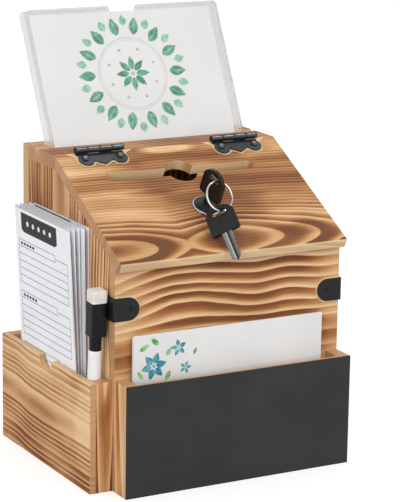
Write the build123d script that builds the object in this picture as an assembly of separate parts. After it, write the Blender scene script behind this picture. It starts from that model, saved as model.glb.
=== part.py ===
from build123d import *
import math
import os

# A wooden suggestion box with a sloping locked lid, a sign stand on top,
# a card pocket with a chalkboard face in front and a slip pocket on the left.
# Millimetres. X runs to the right, Y to the back, Z up.
# The origin is the centre of the box's own footprint, on the surface it stands on.

# Box body
body_width = 195.0
body_depth = 162.0
body_height = 239.0
front_thickness = 9.0
back_thickness = 10.0
side_thickness = 9.0
bottom_thickness = 6.0
top_thickness = 11.0
top_depth = 57.7

# Lid
lid_slope = 28.0
lid_length = 130.0
lid_thickness = 8.7
lid_gap = 0.3
seam_gap = 0.3
lid_round = 1.6
slot_width = 130.0
slot_height = 10.0
slot_from_seam = 31.5
finger_radius = 12.8
lock_offset = -1.5

# Hinges
hinge_half_spacing = 60.0
knuckle_width = 10.4
knuckle_count = 4
knuckle_radius = 2.6
knuckle_side_gap = 0.3
leaf_thickness = 1.2
leaf_half_width = 20.8
leaf_lobe_radius = 6.6
leaf_lobe_from_seam = 9.4
leaf_point_from_seam = 16.2
leaf_notch_radius = 2.6
leaf_notch_offset = 7.4
leaf_notch_from_seam = 14.4
fixed_leaf_drop = 9.6
pin_radius = 1.0
running_gap = 0.04
mortise_gap = 0.3

# Screws
screw_radius = 1.2
screw_fit = 0.02
pan_head_radius = 3.0
pan_head_height = 1.7
flat_head_radius = 2.8
flat_head_height = 1.5
lid_screw_length = 6.8
lid_screw_offset = 15.0
lid_screw_from_seam = 8.2
edge_screw_length = 9.0
edge_screw_drop = 5.6
recess_width = 0.8
recess_length = 2.8
recess_depth = 0.8

# Corner brackets
bracket_reach = 19.6
bracket_height = 17.6
bracket_thickness = 1.8
bracket_screw_inset = 12.3
bracket_screw_length = 7.0
bracket_left_drop = 32.1
bracket_right_drop = 36.8

# Cam lock
lock_from_seam = 77.0
flange_radius = 10.4
flange_height = 3.4
rim_width = 0.8
rim_height = 2.6
barrel_radius = 8.9
barrel_length = 23.0
barrel_flats = 15.4
lock_hole_gap = 0.2
plug_radius = 6.2
plug_head_radius = 7.1
plug_head_height = 1.6
plug_proud = 0.4
plug_tail = 0.5
nut_flats = 22.0
nut_height = 4.0
cam_thickness = 2.4
cam_reach = 33.0
cam_width = 9.0
cam_hub_radius = 7.2
stub_width = 7.0
cam_screw_head_radius = 4.2
cam_screw_head_height = 2.0
cam_screw_radius = 1.9
cam_screw_length = 7.0
keyway_gap = 0.25

# Strike that the cam turns under
strike_width = 24.0
strike_thickness = 2.0
strike_reach = 13.0
strike_drop = 20.0
strike_gap = 0.6
strike_screw_length = 6.0
strike_screw_inset = 7.0

# Keys
key_turn = 12.0
key_head_width = 23.0
key_head_height = 24.0
key_head_thickness = 3.0
key_shoulder_height = 16.4
spare_gap = 0.4
key_hole_length = 12.0
key_hole_height = 4.6
key_hole_drop = 6.2
key_tang = 6.0
key_rim_width = 1.3
key_panel_depth = 0.3
blade_width = 8.0
blade_length = 25.0
blade_thickness = 2.0
blade_groove_depth = 0.5
blade_groove_width = 1.8
blade_tip = 3.0
tooth_pitch = 3.0
tooth_depths = (1.0, 1.8, 0.7, 1.5, 1.1)
ring_radius = 11.5
ring_wire_radius = 0.8
ring_seat = 4.0
spare_seat = 1.6
# Directions in the lid's own frame: to the right, down the slope, out of the lid
ring_hang = (-0.130, 0.789, -0.600)
spare_hang = (-0.016, 0.968, -0.252)
spare_face = (-0.623, 0.188, 0.759)

# Sign stand
groove_from_back = 25.7
groove_depth = 6.5
sign_lean = 26.5
sheet_thickness = 2.4
card_gap = 1.3
sign_height = 112.0
front_sheet_width = 172.0
back_sheet_width = 178.0
sheet_corner = 3.0
seat_gap = 0.3
sign_notch_radius = 13.0
sign_notch_rise = 1.0
sign_card_width = 162.0
sign_card_drop = 4.0
sign_card_thickness = 0.7
card_offset = -1.5

# Slip pocket on the left
pocket_height = 86.0
pocket_front_inset = 2.2
pocket_outer_thickness = 4.8
pocket_end_thickness = 9.0
pocket_notch_radius = 11.4
pocket_notch_rise = 1.6
pocket_notch_from_front = 80.6
edge_round = 1.0

# Slips in the left pocket
slip_count = 8
slip_height = 189.0
slip_thickness = 1.05
slip_air = 0.05
slip_front_room = 27.3
slip_back_room = 18.0
slip_shift = 1.2
slip_shuffle = 5

# Front pocket
front_pocket_height = 87.2
front_pocket_side = 10.0
front_pocket_gap = 16.1
front_board_thickness = 3.4
chalk_thickness = 0.8

# Cards in the front pocket
front_card_count = 3
front_card_side_room = 5.5
front_card_offset = -2.0
front_card_top_room = 7.1
front_card_thickness = 0.9
front_card_step = 0.8

# Marker in the left pocket
marker_lean = 4.0
marker_radius = 5.25
marker_side_gap = 0.3
bracket_room = 0.45
barrel_end_height = 108.5
collar_radius = 4.5
collar_height = 14.5
collar_tip_height = 5.0
nib_radius = 2.0
nib_height = 6.0
cap_width = 12.2
cap_height = 26.5
cap_lift = 11.5
cap_corner = 1.2
cap_fit = 0.05
cap_bore_spare = 4.0
eraser_width = 12.6
eraser_height = 9.0
eraser_corner = 2.2

# Places worked out from the sizes above
half_width = body_width / 2
front_y = -body_depth / 2
back_y = body_depth / 2
seam_y = back_y - top_depth
slope = math.radians(lid_slope)
panel_back_y = back_y - back_thickness
panel_front_y = front_y + front_thickness
top_board_front = seam_y + seam_gap
axis_y = top_board_front + leaf_thickness - knuckle_radius
barrel_clearance = knuckle_radius + mortise_gap
axis_z = body_height + (barrel_clearance + math.sin(slope) * (axis_y - seam_y)) / math.cos(slope)
lid_plane = Plane(
    origin=(0, seam_y, body_height),
    x_dir=(1, 0, 0),
    z_dir=(0, -math.sin(slope), math.cos(slope)),
)
lean = math.radians(sign_lean)
stand_thickness = 2 * sheet_thickness + card_gap
sign_plane = Plane(
    origin=(0, back_y - groove_from_back, body_height),
    x_dir=(1, 0, 0),
    z_dir=(0, math.sin(lean), math.cos(lean)),
)
hinge_centres = (-hinge_half_spacing, hinge_half_spacing)
hinge_half_width = knuckle_width * knuckle_count / 2
marker_top_half = max(cap_width, eraser_width) / 2
pocket_gap = bracket_thickness + bracket_room + marker_top_half + marker_radius + marker_side_gap
pocket_inner_x = -half_width - pocket_gap
pocket_outer_x = pocket_inner_x - pocket_outer_thickness
pocket_front_y = front_y + pocket_front_inset
pocket_inner_front_y = pocket_front_y + pocket_end_thickness
pocket_inner_back_y = back_y - pocket_end_thickness


def on_lid(right, down, out=0.0):
    """A place in the lid's frame: to the right, down the slope and out of the top face."""
    return lid_plane.location * Pos(right, -down, out)


def lid_direction(direction):
    """A direction given in the lid's frame, as a direction of the whole box."""
    right, down, out = direction
    return (lid_plane.x_dir * right - lid_plane.y_dir * down + lid_plane.z_dir * out).normalized()


def rim_z(y):
    """Height of the edges that the lid rests over, at a given depth."""
    under_lid = body_height - (seam_y - y) * math.tan(slope) - lid_thickness / math.cos(slope)
    return under_lid - lid_gap


def board(x0, x1, y0, y1, z0, z1):
    """A square-edged board between two opposite corners."""
    centre = Pos((x0 + x1) / 2, (y0 + y1) / 2, (z0 + z1) / 2)
    return centre * Box(x1 - x0, y1 - y0, z1 - z0)


def side_profile(points, x0, x1):
    """A shape drawn from the side, as depth and height, and run from x0 to x1."""
    outline = Polyline(*[(x0, y, z) for y, z in points], close=True)
    return extrude(make_face(outline), amount=x1 - x0, dir=(1, 0, 0))


def flat_screw(length):
    """A countersunk screw along +Z from its tip, with its flat head at Z = 0."""
    head = Pos(0, 0, -flat_head_height / 2) * Cone(screw_radius, flat_head_radius, flat_head_height)
    shank = Pos(0, 0, -(length + flat_head_height) / 2) * Cylinder(screw_radius, length - flat_head_height)
    return head + shank - cross_recess()


def cross_recess():
    """The cross-shaped driver recess in the top of a screw head at Z = 0."""
    bar = Box(recess_length, recess_width, 2 * recess_depth)
    return bar + Rot(0, 0, 90) * bar


def flat_screw_hole(length):
    """Room for a countersunk screw in the pieces that it holds."""
    head = Pos(0, 0, -flat_head_height / 2) * Cone(
        screw_radius + screw_fit, flat_head_radius + screw_fit, flat_head_height
    )
    depth = length - flat_head_height + screw_fit
    shank = Pos(0, 0, -flat_head_height - depth / 2) * Cylinder(screw_radius + screw_fit, depth)
    return head + shank


def pan_screw(length):
    """A round-headed screw whose head stands on Z = 0 and whose shank points down."""
    head = Cylinder(pan_head_radius, pan_head_height, align=(Align.CENTER, Align.CENTER, Align.MIN))
    head = chamfer(head.edges().group_by(Axis.Z)[-1], pan_head_height * 0.55)
    shank = Pos(0, 0, -length / 2) * Cylinder(screw_radius, length)
    return head + shank - Pos(0, 0, pan_head_height) * cross_recess()


# Places of the screws: each is a location whose +Z points out of the screw's head
lid_screw_places = [
    on_lid(centre + side * lid_screw_offset, lid_screw_from_seam, leaf_thickness)
    for centre in hinge_centres
    for side in (-1, 1)
]
edge_screw_places = [
    Pos(centre + side * lid_screw_offset, top_board_front, body_height - edge_screw_drop) * Rot(90, 0, 0)
    for centre in hinge_centres
    for side in (-1, 1)
]
bracket_left_z = rim_z(front_y) - bracket_left_drop
bracket_right_z = rim_z(front_y) - bracket_right_drop
bracket_sides = ((-1, bracket_left_z), (1, bracket_right_z))
bracket_screw_places = []
for side, bracket_z in bracket_sides:
    bracket_screw_places += [
        Pos(side * (half_width - bracket_screw_inset), front_y - bracket_thickness, bracket_z)
        * Rot(90, 0, 0),
        Pos(side * (half_width + bracket_thickness), front_y + bracket_screw_inset, bracket_z)
        * Rot(0, side * 90, 0),
    ]

# The cam's tip, and the strike above it
cam_top = -barrel_length - plug_tail
cam_tip = (on_lid(lock_offset, lock_from_seam + cam_reach, cam_top)).position
ledge_z = (
    cam_tip.Z + (strike_reach + panel_front_y - cam_tip.Y) * math.tan(slope) + strike_gap
    if strike_reach + panel_front_y > cam_tip.Y
    else cam_tip.Z + strike_gap
)
strike_top = ledge_z + strike_thickness
strike_middle = strike_top - strike_drop / 2
strike_screw_places = [
    Pos(lock_offset + side * strike_screw_inset, panel_front_y + strike_thickness, strike_middle)
    * Rot(-90, 0, 0)
    for side in (-1, 1)
]


def cut_screws(piece, places, length):
    """Countersunk holes at each place."""
    for place in places:
        piece -= place * flat_screw_hole(length)
    return piece


def build_front_panel():
    panel = side_profile(
        [
            (front_y, 0),
            (panel_front_y, 0),
            (panel_front_y, rim_z(panel_front_y)),
            (front_y, rim_z(front_y)),
        ],
        -half_width,
        half_width,
    )
    panel = cut_screws(panel, bracket_screw_places, bracket_screw_length)
    return cut_screws(panel, strike_screw_places, strike_screw_length)


def build_back_panel():
    return board(-half_width, half_width, panel_back_y, back_y, 0, body_height)


def build_side_panel(side):
    shelf_z = body_height - top_thickness
    meet_y = seam_y - (rim_z(seam_y) - shelf_z) / math.tan(slope)
    outer = side * half_width
    inner = side * (half_width - side_thickness)
    panel = side_profile(
        [
            (panel_front_y, 0),
            (panel_back_y, 0),
            (panel_back_y, shelf_z),
            (meet_y, shelf_z),
            (panel_front_y, rim_z(panel_front_y)),
        ],
        min(outer, inner),
        max(outer, inner),
    )
    return cut_screws(panel, bracket_screw_places, bracket_screw_length)


def build_bottom_panel():
    inner = half_width - side_thickness
    return board(-inner, inner, panel_front_y, panel_back_y, 0, bottom_thickness)


def build_top_board():
    piece = board(
        -half_width, half_width, top_board_front, panel_back_y, body_height - top_thickness, body_height
    )
    groove = Box(body_width + 2, stand_thickness + 2 * seat_gap, 2 * groove_depth)
    piece -= sign_plane.location * groove
    for centre in hinge_centres:
        piece -= board(
            centre - hinge_half_width - mortise_gap,
            centre + hinge_half_width + mortise_gap,
            top_board_front - 1,
            top_board_front + leaf_thickness,
            body_height - fixed_leaf_drop - mortise_gap,
            body_height + 1,
        )
    return cut_screws(piece, edge_screw_places, edge_screw_length)


def knuckle_spans(moving):
    """The stretches of the hinge pin that the moving or the fixed leaf wraps."""
    spans = []
    for number in range(knuckle_count):
        if (number % 2 == 0) == moving:
            start = -hinge_half_width + number * knuckle_width
            spans.append((start + knuckle_side_gap / 2, start + knuckle_width - knuckle_side_gap / 2))
    return spans


def knuckle(x0, x1, radius):
    """A round bar along X about the hinge axis."""
    return Pos((x0 + x1) / 2, axis_y, axis_z) * Rot(0, 90, 0) * Cylinder(radius, x1 - x0)


def build_fixed_leaf(centre):
    back_face = top_board_front + leaf_thickness
    leaf = board(
        centre - hinge_half_width,
        centre + hinge_half_width,
        top_board_front,
        back_face,
        body_height - fixed_leaf_drop,
        body_height - mortise_gap,
    )
    for x0, x1 in knuckle_spans(False):
        leaf += board(centre + x0, centre + x1, top_board_front, back_face, body_height - 1, axis_z)
        leaf += knuckle(centre + x0, centre + x1, knuckle_radius)
    leaf -= knuckle(centre - hinge_half_width - 1, centre + hinge_half_width + 1, pin_radius)
    return cut_screws(leaf, edge_screw_places, edge_screw_length)


def build_lid_leaf(centre):
    top = -leaf_point_from_seam
    outline = Pos(0, -leaf_lobe_from_seam / 2) * Rectangle(2 * leaf_half_width - 3, leaf_lobe_from_seam)
    for side in (-1, 1):
        lobe_x = side * (leaf_half_width - leaf_lobe_radius)
        outline += Pos(lobe_x, -leaf_lobe_from_seam) * Circle(leaf_lobe_radius)
    outline += make_face(
        Polyline(
            (-leaf_notch_offset, -leaf_lobe_from_seam + 1),
            (leaf_notch_offset, -leaf_lobe_from_seam + 1),
            (leaf_notch_offset, -leaf_notch_from_seam + leaf_notch_radius),
            (0, top),
            (-leaf_notch_offset, -leaf_notch_from_seam + leaf_notch_radius),
            close=True,
        )
    )
    for side in (-1, 1):
        outline -= Pos(side * leaf_notch_offset, -leaf_notch_from_seam) * Circle(leaf_notch_radius)
    leaf = lid_plane.location * Pos(centre, 0, 0) * extrude(outline, leaf_thickness)
    room = barrel_clearance + 0.6
    for x0, x1 in knuckle_spans(False):
        leaf -= knuckle(centre + x0 - knuckle_side_gap, centre + x1 + knuckle_side_gap, room)
    for x0, x1 in knuckle_spans(True):
        leaf += knuckle(centre + x0, centre + x1, knuckle_radius)
        tie = Pos((x0 + x1) / 2, -1.5, leaf_thickness / 2) * Box(x1 - x0, 3.0, leaf_thickness)
        leaf += lid_plane.location * Pos(centre, 0, 0) * tie
    leaf -= knuckle(centre - hinge_half_width - 1, centre + hinge_half_width + 1, pin_radius + running_gap)
    for place in lid_screw_places:
        leaf -= place * Cylinder(screw_radius + screw_fit, 4 * leaf_thickness)
    return leaf


def build_hinge_pins():
    pins = []
    for centre in hinge_centres:
        pin = knuckle(centre - hinge_half_width, centre + hinge_half_width, pin_radius)
        pins.append(pin)
    return pins


def build_lid_panel():
    cosine = math.cos(slope)
    sine = math.sin(slope)
    front_top = (seam_y - lid_length * cosine, body_height - lid_length * sine)
    front_low = (front_top[0] + lid_thickness * sine, front_top[1] - lid_thickness * cosine)
    panel = side_profile(
        [
            (seam_y, body_height),
            front_top,
            front_low,
            (seam_y, body_height - lid_thickness / cosine),
        ],
        -half_width,
        half_width,
    )
    front_edges = panel.edges().filter_by(Axis.X).sort_by(Axis.Z)[0:2]
    panel = fillet(front_edges, lid_round)
    through = 3 * lid_thickness
    slit = SlotOverall(slot_width, slot_height) + Circle(finger_radius)
    panel -= on_lid(lock_offset, slot_from_seam, -1.5 * lid_thickness) * extrude(slit, through)
    hole = lock_section(barrel_radius + lock_hole_gap, barrel_flats + 2 * lock_hole_gap)
    panel -= on_lid(lock_offset, lock_from_seam, -1.5 * lid_thickness) * extrude(hole, through)
    for place in lid_screw_places:
        depth = lid_screw_length + screw_fit
        panel -= place * Pos(0, 0, -depth / 2) * Cylinder(screw_radius + screw_fit, depth)
    return panel


def lock_section(radius, flats):
    """A circle with two flat sides, the section of a cam lock's barrel."""
    return Circle(radius) & Rectangle(flats, 3 * radius)


def build_lock_housing():
    flange = Cylinder(flange_radius, flange_height, align=(Align.CENTER, Align.CENTER, Align.MIN))
    flange = chamfer(flange.edges().group_by(Axis.Z)[-1], rim_width)
    barrel = Pos(0, 0, -barrel_length) * extrude(lock_section(barrel_radius, barrel_flats), barrel_length)
    bore = Cylinder(plug_radius + running_gap, 4 * barrel_length)
    seat = Pos(0, 0, flange_height) * Cylinder(
        plug_head_radius + running_gap, 2 * (plug_head_height + running_gap)
    )
    return on_lid(lock_offset, lock_from_seam) * (flange + barrel - bore - seat)


def build_lock_rim():
    rim = Cylinder(flange_radius + rim_width, rim_height, align=(Align.CENTER, Align.CENTER, Align.MIN))
    rim = chamfer(rim.edges().group_by(Axis.Z)[-1], rim_width / 2)
    rim -= Cylinder(flange_radius, 4 * rim_height)
    return on_lid(lock_offset, lock_from_seam) * rim


def build_lock_nut():
    nut = extrude(RegularPolygon(nut_flats / 2, 6, major_radius=False), nut_height)
    nut -= Cylinder(barrel_radius + screw_fit, 4 * nut_height)
    return on_lid(lock_offset, lock_from_seam, -lid_thickness - nut_height) * nut


def build_lock_plug():
    top = flange_height - plug_head_height
    keyway_depth = flange_height + plug_proud + blade_length - key_head_lift + seat_gap
    body = Pos(0, 0, (top + cam_top) / 2) * Cylinder(plug_radius, top - cam_top)
    head_height = plug_head_height + plug_proud
    head = Pos(0, 0, top + head_height / 2) * Cylinder(plug_head_radius, head_height)
    head = chamfer(head.edges().group_by(Axis.Z)[-1], plug_proud)
    stub = Pos(0, 0, cam_top - cam_thickness / 2) * Box(stub_width, stub_width, cam_thickness)
    keyway = Rot(0, 0, -90 + key_turn) * Box(
        blade_width + 2 * keyway_gap,
        blade_thickness + 2 * keyway_gap,
        2 * keyway_depth,
    )
    screw_hole = Pos(0, 0, cam_top - cam_thickness) * Cylinder(
        cam_screw_radius + screw_fit, 2 * (cam_screw_length + screw_fit)
    )
    plug = body + head + stub - Pos(0, 0, top + head_height) * keyway - screw_hole
    return on_lid(lock_offset, lock_from_seam) * plug


def build_cam():
    arm = Pos(-cam_reach / 2, 0) * Rectangle(cam_reach, cam_width)
    tip = Pos(-cam_reach + cam_width / 2, 0) * Circle(cam_width / 2)
    outline = Circle(cam_hub_radius) + Pos(cam_width / 4, 0) * arm + tip
    outline -= Rectangle(stub_width, stub_width)
    cam = extrude(outline, cam_thickness)
    return on_lid(lock_offset, lock_from_seam, cam_top - cam_thickness) * cam


def build_cam_screw():
    head = extrude(RegularPolygon(cam_screw_head_radius, 6), -cam_screw_head_height)
    shank = Pos(0, 0, cam_screw_length / 2) * Cylinder(cam_screw_radius, cam_screw_length)
    return on_lid(lock_offset, lock_from_seam, cam_top - cam_thickness) * (head + shank)


def build_strike():
    x0 = lock_offset - strike_width / 2
    x1 = lock_offset + strike_width / 2
    upright = board(
        x0, x1, panel_front_y, panel_front_y + strike_thickness, strike_top - strike_drop, strike_top
    )
    ledge = board(x0, x1, panel_front_y, panel_front_y + strike_reach, ledge_z, strike_top)
    return cut_screws(upright + ledge, strike_screw_places, strike_screw_length)


def build_bracket(side, bracket_z):
    """An angle plate round one front corner, with a half-round end on each leg."""
    end = bracket_height / 2
    leg = Pos((bracket_reach - end) / 2, 0) * Rectangle(bracket_reach - end, bracket_height)
    leg += Pos(bracket_reach - end, 0) * Circle(end)
    front_leg = Plane.XZ.location * extrude(leg, bracket_thickness)
    side_leg = Rot(0, 0, 90) * Plane.XZ.location * extrude(leg, -bracket_thickness)
    corner = Pos(-bracket_thickness / 2, -bracket_thickness / 2, 0) * Box(
        bracket_thickness, bracket_thickness, bracket_height
    )
    outer = corner.edges().filter_by(Axis.Z).sort_by(lambda edge: edge.center().X + edge.center().Y)[0]
    plate = front_leg + side_leg + fillet(outer, bracket_thickness * 0.8)
    if side > 0:
        plate = mirror(plate, Plane.YZ)
    plate = Pos(side * half_width, front_y, bracket_z) * plate
    return cut_screws(plate, bracket_screw_places, bracket_screw_length)


def key_place(origin, across, up):
    """The location of a key: X across its head, Y from its shoulder to its head, Z its face."""
    return Plane(origin=origin, x_dir=across, z_dir=across.cross(up)).location


def build_key_head():
    half = key_head_width / 2
    outline = make_face(
        [
            Line((-half, 0), (half, 0)),
            Line((half, 0), (half, key_shoulder_height)),
            ThreePointArc((half, key_shoulder_height), (0, key_head_height), (-half, key_shoulder_height)),
            Line((-half, key_shoulder_height), (-half, 0)),
        ]
    )
    outline = fillet(outline.vertices(), 2.0)
    hole_place = Pos(0, key_head_height - key_hole_drop)
    panel = offset(outline, -key_rim_width)
    hole_rim = 2 * key_rim_width
    panel -= hole_place * SlotOverall(key_hole_length + hole_rim, key_hole_height + hole_rim)
    outline -= hole_place * SlotOverall(key_hole_length, key_hole_height)
    head = extrude(outline, key_head_thickness / 2, both=True)
    # A sunk panel on each face leaves a raised rim round the head and round its hole
    for side in (-1, 1):
        head -= Pos(0, 0, side * key_head_thickness / 2) * extrude(panel, key_panel_depth, both=True)
    tang = Pos(0, key_tang / 2, 0) * Box(blade_width, key_tang, blade_thickness)
    return head - tang


def build_key_blade():
    """The flat metal blade, with its cuts on one side and a milled groove on each face."""
    half = blade_width / 2
    points = [(-half, key_tang), (-half, -blade_length + blade_tip), (0, -blade_length)]
    points += [(half - tooth_depths[-1], -blade_length + blade_tip)]
    start = -blade_length + blade_tip
    for number, depth in enumerate(reversed(tooth_depths)):
        points.append((half - depth, start + number * tooth_pitch + 1.0))
        points.append((half, start + (number + 1) * tooth_pitch - 0.4))
    points += [(half, key_tang)]
    blade = extrude(make_face(Polyline(*points, close=True)), blade_thickness / 2, both=True)
    for side in (-1, 1):
        groove = Box(blade_groove_width, blade_length - 2, 2 * blade_groove_depth)
        blade -= Pos(-half / 3, -blade_length / 2 - 2, side * blade_thickness / 2) * groove
    return blade


turn = math.radians(key_turn)
lid_out = lid_plane.z_dir
key_across = lid_direction((math.sin(turn), math.cos(turn), 0))
hole_height = key_head_height - key_hole_drop
ring_bearing = key_hole_height / 2 - ring_wire_radius - 1.5 * seat_gap
ring_down = lid_direction(ring_hang)
spare_up = lid_direction(spare_hang) * -1
spare_across = spare_up.cross(lid_direction(spare_face)).normalized()
spare_normal = spare_across.cross(spare_up)


def spare_lowest():
    """How far the spare key's lowest corner is below its own shoulder, measured out of the lid."""
    corners = [
        (key_head_width / 2, 0, key_head_thickness / 2),
        (blade_width / 2, -blade_length + blade_tip, blade_thickness / 2),
    ]
    return min(
        y * spare_up.dot(lid_out) - abs(x * spare_across.dot(lid_out)) - abs(z * spare_normal.dot(lid_out))
        for x, y, z in corners
    )


# The key in the lock stands out just so far that the spare key lies clear of the lid
spare_shift = spare_up * (hole_height + ring_bearing) + spare_across * spare_seat
spare_fall = (ring_down * (2 * ring_radius) - spare_shift).dot(lid_out) + spare_lowest()
key_head_lift = spare_gap - hole_height - spare_fall
key_origin = on_lid(lock_offset, lock_from_seam, key_head_lift).position
key_location = key_place(key_origin, key_across, lid_out)
ring_top = (key_location * Pos(ring_seat, hole_height, 0)).position
ring_centre = ring_top + ring_down * ring_radius
ring_low = ring_top + ring_down * (2 * ring_radius)
spare_location = key_place(ring_low - spare_shift, spare_across, spare_up)
key_normal = key_across.cross(lid_out)
ring_normal = ring_down.cross(key_normal).normalized()


def build_key_ring():
    ring_plane = Plane(origin=ring_centre, x_dir=ring_down, z_dir=ring_normal)
    section = Plane.XZ.location * Pos(ring_radius, 0) * RegularPolygon(ring_wire_radius, 8)
    return ring_plane.location * revolve(section, Axis.Z)


def build_sign_holder():
    """A bent clear sheet: a taller back, a fold in the groove and a front that holds a card."""
    low = -groove_depth + seat_gap
    total = sign_height - low
    mid = (sign_height + low) / 2
    section = Pos(0, mid) * Rectangle(stand_thickness, total)
    section = fillet(section.vertices().group_by(Axis.Y)[0], stand_thickness / 2 - 0.2)
    gap = Pos(0, mid + sheet_thickness) * Rectangle(card_gap, total)
    section = section - gap
    holder = Plane.YZ.location * extrude(section, front_sheet_width / 2, both=True)
    wing_y = (stand_thickness - sheet_thickness) / 2
    wing_low = sheet_corner
    wing_height = sign_height - wing_low
    wing = Box(back_sheet_width, sheet_thickness, wing_height)
    holder += Pos(0, wing_y, wing_low + wing_height / 2) * wing
    corners = holder.edges().filter_by(Axis.Y).group_by(Axis.Z)[-1]
    holder = fillet(corners, sheet_corner)
    notch_z = sign_height + sign_notch_rise
    notch = Pos(0, 0, notch_z) * Rot(90, 0, 0) * Cylinder(sign_notch_radius, 4 * stand_thickness)
    return sign_plane.location * (holder - notch)


def build_sign_card():
    low = -groove_depth + seat_gap + sheet_thickness + seat_gap
    high = sign_height - sign_card_drop
    card = Box(sign_card_width, sign_card_thickness, high - low)
    return sign_plane.location * Pos(card_offset, 0, (low + high) / 2) * card


def build_pocket_outer():
    piece = board(pocket_outer_x, pocket_inner_x, pocket_front_y, back_y, 0, pocket_height)
    piece = fillet(piece.edges().filter_by(Axis.Y).group_by(Axis.X)[0].sort_by(Axis.Z)[-1], edge_round)
    notch_y = front_y + pocket_notch_from_front
    notch_z = pocket_height + pocket_notch_rise
    notch = Rot(0, 90, 0) * Cylinder(pocket_notch_radius, 4 * pocket_outer_thickness)
    return piece - Pos(pocket_outer_x, notch_y, notch_z) * notch


def build_pocket_front():
    return board(
        pocket_inner_x, -half_width, pocket_front_y, pocket_inner_front_y, 0, pocket_height
    )


def build_pocket_back():
    return board(pocket_inner_x, -half_width, pocket_inner_back_y, back_y, 0, pocket_height)


def build_pocket_bottom():
    return board(
        pocket_inner_x, -half_width, pocket_inner_front_y, pocket_inner_back_y, 0, bottom_thickness
    )


def build_slips():
    """A fanned stack of paper slips that leans out over the pocket's edge."""
    slips = []
    foot_z = bottom_thickness + seat_gap
    rise = pocket_height - foot_z
    slip_pitch = slip_thickness + slip_air
    slip_width = pocket_inner_back_y - pocket_inner_front_y - slip_front_room - slip_back_room
    spare_room = pocket_gap - slip_count * slip_pitch - 3 * seat_gap
    slip_lean = math.degrees(math.atan(spare_room / rise))
    first_x = pocket_inner_x + 2 * seat_gap + spare_room
    for number in range(slip_count):
        tilt = slip_lean * (1 - number / (slip_count - 1))
        shift = (number * slip_shuffle % slip_count) * slip_shift
        slip = Pos(slip_thickness / 2, slip_width / 2, slip_height / 2) * Box(
            slip_thickness, slip_width, slip_height
        )
        lift = slip_thickness * math.sin(math.radians(tilt))
        slip_y = pocket_inner_front_y + slip_front_room + shift
        place = Pos(first_x + number * slip_pitch, slip_y, foot_z + lift)
        slips.append(place * Rot(0, -tilt, 0) * slip)
    return slips


pocket_face_y = front_y - front_pocket_gap
board_face_y = pocket_face_y - front_board_thickness


def build_front_pocket_side(side):
    outer = side * half_width
    inner = side * (half_width - front_pocket_side)
    return board(min(outer, inner), max(outer, inner), pocket_face_y, front_y, 0, front_pocket_height)


def build_front_pocket_bottom():
    inner = half_width - front_pocket_side
    return board(-inner, inner, pocket_face_y, front_y, 0, bottom_thickness)


def build_front_pocket_board():
    piece = board(-half_width, half_width, board_face_y, pocket_face_y, 0, front_pocket_height)
    return fillet(piece.edges().filter_by(Axis.X).group_by(Axis.Z)[-1].sort_by(Axis.Y)[-1], edge_round)


def build_chalkboard():
    return board(
        -half_width, half_width, board_face_y - chalk_thickness, board_face_y, 0, front_pocket_height
    )


def build_front_cards():
    """Cards that stand one behind the other, just in front of the corner brackets."""
    cards = []
    foot_z = bottom_thickness + seat_gap
    width = body_width - 2 * front_pocket_side - 2 * front_card_side_room
    top_z = min(bracket_left_z, bracket_right_z) - bracket_height / 2 - front_card_top_room
    for number in range(front_card_count):
        back = front_y - bracket_thickness - seat_gap - number * front_card_thickness
        behind = front_card_count - 1 - number
        cards.append(
            board(
                front_card_offset - width / 2,
                front_card_offset + width / 2,
                back - front_card_thickness,
                back,
                foot_z,
                top_z - behind * front_card_step,
            )
        )
    return cards


tilt_angle = math.radians(marker_lean)
marker_foot_z = bottom_thickness + seat_gap + marker_radius * math.sin(tilt_angle)
marker_x = pocket_inner_x + marker_side_gap + marker_radius
marker_rim_y = pocket_inner_front_y + seat_gap + marker_radius / math.cos(tilt_angle)
marker_foot_y = marker_rim_y + (pocket_height - marker_foot_z) * math.tan(tilt_angle)
marker_location = Pos(marker_x, marker_foot_y, marker_foot_z) * Rot(marker_lean, 0, 0)
barrel_length_total = barrel_end_height - marker_foot_z


def upright(radius, z0, z1):
    """A round bar along the marker's own axis."""
    return Pos(0, 0, (z0 + z1) / 2) * Cylinder(radius, z1 - z0)


def build_marker_barrel():
    barrel = upright(marker_radius, 0, barrel_length_total)
    barrel = chamfer(barrel.edges().group_by(Axis.Z)[0], 1.0)
    barrel = chamfer(barrel.edges().group_by(Axis.Z)[-1], 0.6)
    return marker_location * barrel


def build_marker_collar():
    low = barrel_length_total
    high = low + collar_height
    collar = upright(collar_radius, low, high)
    cone_base = high + collar_tip_height / 2
    collar += Pos(0, 0, cone_base) * Cone(collar_radius - 1.0, nib_radius, collar_tip_height)
    return marker_location * collar


def build_marker_nib():
    low = barrel_length_total + collar_height + collar_tip_height
    nib = upright(nib_radius, low, low + nib_height)
    nib = chamfer(nib.edges().group_by(Axis.Z)[-1], nib_radius * 0.5)
    return marker_location * nib


def build_marker_cap():
    low = barrel_length_total + cap_lift
    section = RectangleRounded(cap_width, cap_width, cap_corner)
    cap = Pos(0, 0, low) * extrude(section, cap_height)
    tip = barrel_length_total + collar_height + collar_tip_height + nib_height
    bore_top = tip + seat_gap
    cap -= upright(collar_radius + cap_fit, low - 1, bore_top)
    return marker_location * cap


def build_marker_eraser():
    low = barrel_length_total + cap_lift + cap_height
    section = RectangleRounded(eraser_width, eraser_width, eraser_corner)
    eraser = Pos(0, 0, low) * extrude(section, eraser_height)
    return marker_location * chamfer(eraser.edges().group_by(Axis.Z)[-1], 0.8)


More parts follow.
